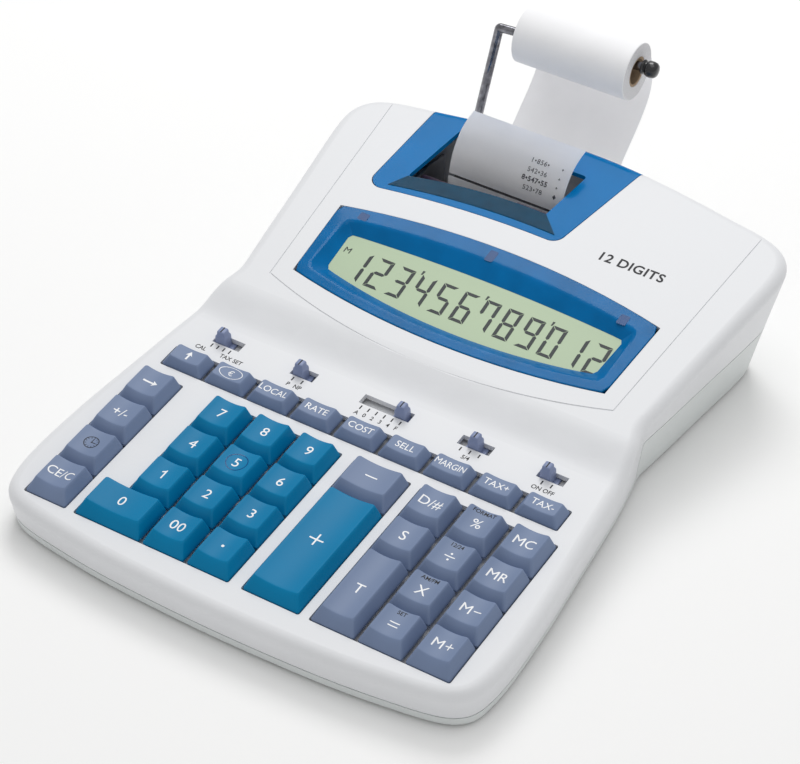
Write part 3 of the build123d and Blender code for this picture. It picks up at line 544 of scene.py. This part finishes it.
def switch(node, labels, ticks):
    """Knob with a raised ridge, and the tick marks and labels in front of its slot."""
    low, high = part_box(node)
    x = (low.x + high.x) / 2 / MM
    bm = bmesh.new()

    def ring(a, b, n, r=0.5):
        return [(x + px, SWITCH_V + py, n) for px, py in rounded(a, b, r, 3)]

    skin(bm, [
        ring(4.6, 4.5, -3.9), ring(4.6, 4.5, -2.8), ring(2.6, 2.5, -2.8, 0.4), ring(2.6, 2.5, -0.2, 0.4),
        ring(2.6, 2.5, 2.6, 0.5), ring(2.5, 2.4, 3.3, 0.6), ring(1.95, 2.05, 4.0, 0.6),
        ring(1.85, 1.95, 5.4, 0.5), ring(1.7, 1.8, 5.8, 0.45), ring(1.45, 1.55, 6.0, 0.4),
    ])
    knob = build(node + "_knob", bm, KNOB, node, DECK, angle=35)
    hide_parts(node)
    # A black bar along the knob's ridge is painted shade standing in for the groove on its top.
    groove_shade = bar_bm(0.55, 3.3)
    thicken(groove_shade, 0.3)
    for v in groove_shade.verts:
        v.co.x += x
        v.co.y += SWITCH_V
        v.co.z += 5.75
    build(node + "_groove", groove_shade, PRINT_BLACK, node, DECK, angle=30)
    for i, t in enumerate(ticks):
        mark_flat(node + "_tick_%d" % i, bar_bm(0.6, 2.2), PRINT_BLACK, DECK, t, TICK_V)
    for i, (words, lx) in enumerate(labels):
        mark_flat(node + "_label_%d" % i, text_bm(words, 2.3, 0.05, wide=0.9), PRINT_BLACK, DECK, lx, LABEL_V)


switch("switch_rate", (("CAL", -87.2), ("TAX", -74.6), ("SET", -68.6)), (-84, -81, -78, -75))
switch("switch_print", (("P", -43.2), ("NP", -38.6)), (-43.2, -38.6))
DECIMAL_STOPS = tuple(zip("A0234F", (-9.6, -5.8, -2.0, 1.8, 5.6, 9.4)))
switch("switch_decimal", DECIMAL_STOPS, [x for _, x in DECIMAL_STOPS])
switch("switch_round", (("5/4", 42.6),), (38.2, 42.6, 47.0))
switch("switch_power", (("ON", 75.6), ("OFF", 81.2)), (76.2, 80.6))


# ---------------------------------------------------------------- display
SEGMENTS = {
    "0": "abcdef", "1": "bc", "2": "abged", "3": "abgcd", "4": "fgbc", "5": "afgcd", "6": "afgedc",
    "7": "fabc", "8": "abcdefg", "9": "abcdfg",
}


def digit_bm(digit, w=7.2, h=17.6, s=1.6, gap=0.2):
    """Seven-segment figure with mitred ends."""
    parts = []
    k = s / 2

    def flat(y, kind):
        x0, x1 = -w / 2 + gap, w / 2 - gap
        if kind == "mid":
            loop = [(x0 + k, y), (x0 + s, y + k), (x1 - s, y + k)]
            loop += [(x1 - k, y), (x1 - s, y - k), (x0 + s, y - k)]
        elif kind == "top":
            loop = [(x0, y + k), (x1, y + k), (x1 - s, y - k), (x0 + s, y - k)]
        else:
            loop = [(x0, y - k), (x0 + s, y + k), (x1 - s, y + k), (x1, y - k)]
        return polygon_bm(loop)

    def tall(side, y0, y1, low_mid):
        x_out = side * w / 2
        x_in = side * (w / 2 - s)
        y0 += gap
        y1 -= gap
        low = y0 + (k if low_mid else s)
        high = y1 - (s if low_mid else k)
        if low_mid:
            loop = [(x_out - side * k, y0), (x_in, low), (x_in, high), (x_out, y1), (x_out, y0 + k)]
        else:
            loop = [(x_out - side * k, y1), (x_in, high), (x_in, low), (x_out, y0), (x_out, y1 - k)]
        return polygon_bm(loop)

    lit = SEGMENTS[digit]
    if "a" in lit:
        parts.append((flat(h / 2 - k, "top"), 0, 0))
    if "d" in lit:
        parts.append((flat(-h / 2 + k, "low"), 0, 0))
    if "g" in lit:
        parts.append((flat(0, "mid"), 0, 0))
    if "b" in lit:
        parts.append((tall(1, 0, h / 2, True), 0, 0))
    if "f" in lit:
        parts.append((tall(-1, 0, h / 2, True), 0, 0))
    if "c" in lit:
        parts.append((tall(1, -h / 2, 0, False), 0, 0))
    if "e" in lit:
        parts.append((tall(-1, -h / 2, 0, False), 0, 0))
    return join_bm(*parts)


def bow(x0, y0, x1, y1, mid, steps=28):
    """Points of a bowed edge from one corner to the other through its middle."""
    half = abs(x1 - x0) / 2
    rise = mid - y0
    r = (half * half + rise * rise) / (2 * abs(rise))
    sign = 1 if rise > 0 else -1
    points = []
    for i in range(steps + 1):
        x = x0 + (x1 - x0) * i / steps
        points.append((x, mid - sign * (r - sqrt(max(0.0, r * r - x * x)))))
    return points


def barrel(side_low, side_high, low_corner, low_mid, high_corner, high_mid, steps=28):
    """Display outline as in the CAD source, counter-clockwise from the lower left corner."""
    low = bow(-side_low, low_corner, side_low, low_corner, low_mid, steps)
    high = bow(side_high, high_corner, -side_high, high_corner, high_mid, steps)
    right = [(side_low + (side_high - side_low) * t, low_corner + (high_corner - low_corner) * t)
             for t in (0.02, 0.33, 0.67, 0.98)]
    left = [(-x, y) for x, y in reversed(right)]
    return low + right + high + left


def soften(points, amount):
    """Round the corners of a closed run by averaging neighbours."""
    out = []
    for before, here, after in zip(points[-1:] + points, points, points[1:] + points[:1]):
        out.append(tuple(p + amount * ((a + b) / 2 - p) for a, p, b in zip(before, here, after)))
    return out


bm = bmesh.new()
BEZEL_RINGS = (
    ((75.4, 78.2, 0.6, -7.8, 42.0, 51.2), -3.4), ((76.1, 78.9, 0.1, -8.4, 42.5, 51.7), -0.6),
    ((76.15, 78.95, 0.05, -8.45, 42.55, 51.75), 0.1), ((75.9, 78.7, 0.25, -8.2, 42.35, 51.5), 0.38),
    ((75.5, 78.3, 0.6, -7.8, 42.0, 51.1), 0.42), ((73.1, 73.9, 3.2, -5.2, 38.0, 45.6), 0.34),
    ((72.6, 73.2, 3.8, -4.6, 37.4, 44.8), 0.42), ((71.9, 72.1, 4.8, -3.7, 36.5, 43.2), 0.3),
    ((71.4, 71.4, 5.6, -3.2, 35.9, 42.2), -0.1), ((70.4, 70.9, 6.4, -1.9, 35.2, 40.6), -0.75),
    ((66.6, 68.2, 9.6, 1.5, 32.5, 35.5), -3.1), ((66.1, 67.7, 9.9, 1.9, 32.1, 34.9), -3.42),
)
rings = [[(x, y, n) for x, y in soften(barrel(*shape), 0.5)] for shape, n in BEZEL_RINGS]
skin(bm, rings + [rings[0]], False, False)
bmesh.ops.remove_doubles(bm, verts=bm.verts, dist=1e-5)
bezel = build("display_bezel_shell", bm, BEZEL, "case", HEAD, angle=24)
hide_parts("display_bezel")
for i, (x, y, w, h) in enumerate(((-66.0, 40.9, 4.6, 4.4), (-4.4, 46.0, 4.0, 6.6), (63.4, 39.4, 4.4, 5.6))):
    bm = polygon_bm([(px, py) for px, py in rounded(w / 2, h / 2, 0.8)])
    mark_flat("display_boss_%d" % i, bm, BEZEL_DEEP, HEAD, x, y, n=0.45)

LEAN = -0.06
GLASS_MARK = -3.42        # marks lie just above the display glass
DIGIT_MID = 17.4
TICK_MID = 26.8
FIRST_DIGIT = -54.6
DIGIT_PITCH = 10.68
for i, digit in enumerate("123456789012"):
    bm = digit_bm(digit)
    for v in bm.verts:
        v.co.x += v.co.y * LEAN
    mark_flat("display_digit_%02d" % i, bm, INK, HEAD, FIRST_DIGIT + DIGIT_PITCH * i, DIGIT_MID, n=GLASS_MARK)
for i in range(3):
    bm = polygon_bm([(-0.5, 1.2), (0.6, 1.2), (0.2, -1.2), (-0.4, -1.2)])
    x = FIRST_DIGIT + DIGIT_PITCH * (2.55 + 3 * i)
    mark_flat("display_tick_%d" % i, bm, INK, HEAD, x, TICK_MID, n=GLASS_MARK)
mark_flat("display_memory", text_bm("M", 3.4), INK, HEAD, -63.6, 23.6, n=GLASS_MARK)


# ---------------------------------------------------------------- printer cover details
def arc(p0, p1, p2, steps):
    """Points on the circle through three points."""
    ax, ay = p0
    bx, by = p1
    cx, cy = p2
    d = 2 * (ax * (by - cy) + bx * (cy - ay) + cx * (ay - by))
    a2, b2, c2 = ax * ax + ay * ay, bx * bx + by * by, cx * cx + cy * cy
    ux = (a2 * (by - cy) + b2 * (cy - ay) + c2 * (ay - by)) / d
    uy = (a2 * (cx - bx) + b2 * (ax - cx) + c2 * (bx - ax)) / d
    r = hypot(ax - ux, ay - uy)
    points = []
    for i in range(steps + 1):
        x = ax + (cx - ax) * i / steps
        rise = sqrt(max(0.0, r * r - (x - ux) ** 2))
        points.append((x, uy + rise if by > uy else uy - rise))
    return points


STEPS = 24
front_edge = arc((-67.5, 63.2), (-30, 68.9), (13.0, 69.8), STEPS)
lip_edge = arc((-62.4, 72.0), (-30, 78.0), (3.6, 79.3), STEPS)
bm = bmesh.new()
rows = []
for points, n in ((front_edge, 0.02), (front_edge, 0.22), (lip_edge, 0.22), (lip_edge, -2.6)):
    rows.append([(x, y, n) for x, y in points])
rows[1] = [(x, y + 0.25, n) for x, y, n in rows[1]]
skin(bm, rows, False, False, closed=False)
bmesh.ops.solidify(bm, geom=bm.faces[:], thickness=-0.15)
build("cover_apron", bm, APRON, "printer_cover", HEAD, angle=30)

# ---------------------------------------------------------------- paper
ROLL_Y, ROLL_Z, ROLL_R = 328.0, 89.7, 13.5
roll_low, roll_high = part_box("paper_roll")
PAPER_X = 0.5 * (roll_low.x + roll_high.x) / MM
PAPER_W = (roll_high.x - roll_low.x) / MM


def smooth_path(points, steps):
    """Catmull-Rom points through a run of control points."""
    run = [points[0]] + list(points) + [points[-1]]
    out = []
    for a, b, c, d in zip(run, run[1:], run[2:], run[3:]):
        for i in range(steps):
            t = i / steps
            out.append(tuple(
                0.5 * (2 * q + (r - p) * t + (2 * p - 5 * q + 4 * r - s) * t ** 2
                       + (3 * q - p - 3 * r + s) * t ** 3)
                for p, q, r, s in zip(a, b, c, d)))
    out.append(tuple(points[-1]))
    return out


def strip_piece(name, path, body, thick=0.16, columns=16):
    """Paper strip along a path in the side plane."""
    bm = bmesh.new()
    across = [PAPER_X + (i / columns - 0.5) * PAPER_W for i in range(columns + 1)]
    skin(bm, [[(y, z, x) for x in across] for y, z in path], False, False, closed=False)
    bmesh.ops.solidify(bm, geom=bm.faces[:], thickness=thick)
    return build(name, bm, PAPER, body, SIDE, angle=50)


TAIL = [(263.3, 50.6), (264.2, 55.0), (266.7, 61.2), (271.6, 67.4), (277.0, 70.6), (283.4, 72.4)]
WEB = [(341.9, 89.7), (344.5, 79.0), (343.1, 69.0), (335.5, 58.5), (322.0, 45.8), (305.0, 29.0),
       (290.5, 14.8), (281.0, 10.8), (271.0, 12.6), (264.8, 20.0), (262.4, 30.0), (262.3, 40.0),
       (262.9, 49.6)]
tail_path = smooth_path(TAIL, 10)
tail = strip_piece("paper_tail_sheet", tail_path, "printer_cover")
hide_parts("paper_tail")
web = strip_piece("paper_web_sheet", smooth_path(WEB, 8), "case")
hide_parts("paper_web")

lengths = [0.0]
for (y0, z0), (y1, z1) in zip(tail_path, tail_path[1:]):
    lengths.append(lengths[-1] + hypot(y1 - y0, z1 - z0))


def on_tail(s, lift):
    """Point and outward shift on the tail at arc length s from its foot."""
    s = max(0.0, min(lengths[-1] - 1e-6, s))
    for (y0, z0), (y1, z1), l0, l1 in zip(tail_path, tail_path[1:], lengths, lengths[1:]):
        if s <= l1:
            t = (s - l0) / (l1 - l0)
            dy, dz = (y1 - y0) / (l1 - l0), (z1 - z0) / (l1 - l0)
            return y0 + t * (y1 - y0) - dz * lift, z0 + t * (z1 - z0) + dy * lift
    return tail_path[-1]


def print_line(tag, words, x, s, cap, weight):
    """One printed line on the tail, read from the front."""
    bm = text_bm(words, cap, weight, gap=1.1)
    low = min(v.co.y for v in bm.verts)
    high = max(v.co.y for v in bm.verts)
    y = low + 0.3
    while y < high:
        bmesh.ops.bisect_plane(bm, geom=bm.verts[:] + bm.edges[:] + bm.faces[:], plane_co=(0, y, 0),
                               plane_no=(0, 1, 0), dist=1e-6)
        y += 0.6
    thicken(bm, 0.03)
    for v in bm.verts:
        py, pz = on_tail(s + v.co.y, 0.1 + v.co.z)
        v.co = (py, pz, x + v.co.x)
    return build(tag, bm, PRINT_GREY, "printer_cover", SIDE, angle=30)


LINES = (("1•856•", 19.0, 0.0), ("542•36", 14.6, 0.0), ("8•547•55", 10.6, 0.09), ("523•78", 6.4, 0.0))
for i, (words, s, weight) in enumerate(LINES):
    print_line("tape_line_%d" % i, words, -10.5, s, 2.3, weight)
    print_line("tape_sign_%d" % i, "♦" if i == 3 else "+", 0.5, s, 1.5, 0.04)



def spun_bm(profile, steps, first_slot=()):
    """Closed ring from (radius, x) points turned about the roll's axis; other faces take the second slot."""
    bm = bmesh.new()
    made = []
    for i in range(steps):
        t = 2 * pi * i / steps
        made.append([bm.verts.new((r * cos(t), r * sin(t), x)) for r, x in profile])
    for a, b in zip(made, made[1:] + made[:1]):
        for k in range(len(profile)):
            j = (k + 1) % len(profile)
            face = bm.faces.new((a[k], b[k], b[j], a[j]))
            face.material_index = 0 if k in first_slot or not first_slot else 1
    return bm


# Roll with slightly uneven wound ends; its profile's faces 4 to 6 are the outer turn
half = PAPER_W / 2
profile = [(7.2, -half + 0.15), (9.0, -half), (10.8, -half + 0.12), (12.4, -half + 0.02),
           (13.25, -half + 0.05), (ROLL_R, -half + 0.25), (ROLL_R, half - 0.25), (13.25, half - 0.05),
           (12.4, half - 0.1), (10.8, half), (9.0, half - 0.14), (7.2, half - 0.05)]
roll_place = SIDE @ Matrix.Translation((ROLL_Y * MM, ROLL_Z * MM, PAPER_X * MM))
roll = build("paper_roll_wound", spun_bm(profile, 96, (4, 5, 6)), [PAPER, PAPER_END], "paper_roll",
             roll_place, angle=40)
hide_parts("paper_roll")

profile = [(7.15, -half + 0.35), (7.15, half - 0.35), (6.9, half - 0.2), (6.1, half - 0.2), (5.9, half - 0.4),
           (5.9, -half + 0.4), (6.1, -half + 0.2), (6.9, -half + 0.2)]
core = build("roll_core_tube", spun_bm(profile, 64), CARD, "paper_roll", roll_place, angle=30)
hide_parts("roll_core")

# Wire arm with its moulded end knob
WIRE_Z = 93.4
WIRE = [(-70.5, 268.0, 18.0), (-70.5, 318.0, 18.0), (-70.5, ROLL_Y, WIRE_Z), (9.5, ROLL_Y, WIRE_Z)]
WIRE_R = 2.1
WIRE_SIDES = 20


def bend_path(points, radius, steps=8):
    """Straight runs joined by circular bends."""
    out = [Vector(points[0])]
    for a, b, c in zip(points, points[1:], points[2:]):
        a, b, c = Vector(a), Vector(b), Vector(c)
        u, w = (a - b).normalized(), (c - b).normalized()
        angle = u.angle(w)
        reach = radius / tan(angle / 2)
        start, end = b + u * reach, b + w * reach
        centre = b + (u + w).normalized() * radius / sin(angle / 2)
        for i in range(steps + 1):
            out.append(centre + (start - centre).slerp(end - centre, i / steps))
    out.append(Vector(points[-1]))
    return out


wire_points = bend_path(WIRE, 6.0)
bm = bmesh.new()
rings = []
up = Vector((0, 0, 1))
for i, p in enumerate(wire_points):
    before = wire_points[max(0, i - 1)]
    after = wire_points[min(len(wire_points) - 1, i + 1)]
    along = (after - before).normalized()
    if i == 0:
        across = along.cross(up).normalized()
    else:
        across = (across - along * across.dot(along)).normalized()
    other = along.cross(across)
    turns = [2 * pi * k / WIRE_SIDES for k in range(WIRE_SIDES)]
    rings.append([p + Vector((0, FRONT, 0)) + (across * cos(t) + other * sin(t)) * WIRE_R for t in turns])
skin(bm, rings)
wire = build("paper_arm_wire", bm, CHROME_DARK_REFLECTION, "case", None, angle=60)
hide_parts("paper_arm")
bm = lathe([(0.01, 0.0), (2.2, 0.0), (3.3, 0.2), (3.5, 0.7), (3.3, 1.3), (2.7, 1.7), (2.7, 2.0), (3.3, 2.4),
            (3.75, 3.2), (3.8, 5.0), (3.5, 6.4), (2.7, 7.3), (1.4, 7.75), (0.01, 7.85)], 40)
knob_place = SIDE @ Matrix.Translation((ROLL_Y * MM, WIRE_Z * MM, 7.35 * MM))
build("paper_arm_knob", bm, BLACK, "case", knob_place, angle=40)

# ---------------------------------------------------------------- caption on the head
mark_flat("head_caption", text_bm("12 DIGITS", 5.0, 0.16, gap=1.08), PRINT_BLACK, HEAD, 52.0, 68.6)

# ---------------------------------------------------------------- stage, light and camera
floor_mesh = bpy.data.meshes.new("floor")
HALF_FLOOR = 6.0
corners = [(x * HALF_FLOOR, y * HALF_FLOOR, 0) for x, y in ((-1, -1), (1, -1), (1, 1), (-1, 1))]
floor_mesh.from_pydata(corners, [], [(0, 1, 2, 3)])
floor = bpy.data.objects.new("floor", floor_mesh)
bpy.context.scene.collection.objects.link(floor)
floor_mesh.materials.append(material("floor_paper", (0.97, 0.97, 0.965), rough=0.9, vary=0.004, vary_mm=300))

world = bpy.data.worlds.new("studio")
bpy.context.scene.world = world
world.use_nodes = True
background = world.node_tree.nodes["Background"]
background.inputs["Color"].default_value = (1.0, 1.0, 1.0, 1)
background.inputs["Strength"].default_value = 0.55


def lamp(name, location, target, size, power):
    """Square soft light at a place, turned to its target."""
    data = bpy.data.lights.new(name, "AREA")
    data.shape = "SQUARE"
    data.size = size
    data.energy = power
    obj = bpy.data.objects.new(name, data)
    bpy.context.scene.collection.objects.link(obj)
    obj.location = location
    obj.rotation_mode = "QUATERNION"
    obj.rotation_quaternion = (Vector(target) - Vector(location)).to_track_quat("-Z", "Y")
    return obj


lamp("key_light", (-0.5, 0.9, 1.4), (0, 0, 0.03), 0.8, 11)
lamp("top_light", (0.1, 0.1, 1.7), (0, 0, 0), 1.2, 5)

camera_data = bpy.data.cameras.new("camera")
camera = bpy.data.objects.new("camera", camera_data)
bpy.context.scene.collection.objects.link(camera)
camera_data.sensor_width = 36.0
camera_data.lens = 130.5
camera_data.clip_start = 0.05
camera_data.clip_end = 20.0
camera.location = (0.47239, -0.83593, 0.78797)
azimuth, elevation, roll = radians(30.482), radians(38.864), radians(2.051)
back = Vector((sin(azimuth) * cos(elevation), -cos(azimuth) * cos(elevation), sin(elevation)))
camera.rotation_mode = "QUATERNION"
camera.rotation_quaternion = (-back).to_track_quat("-Z", "Y") @ Matrix.Rotation(roll, 3, "Z").to_quaternion()
bpy.context.scene.camera = camera
bpy.context.scene.view_settings.view_transform = "Standard"
bpy.context.scene.view_settings.look = "None"
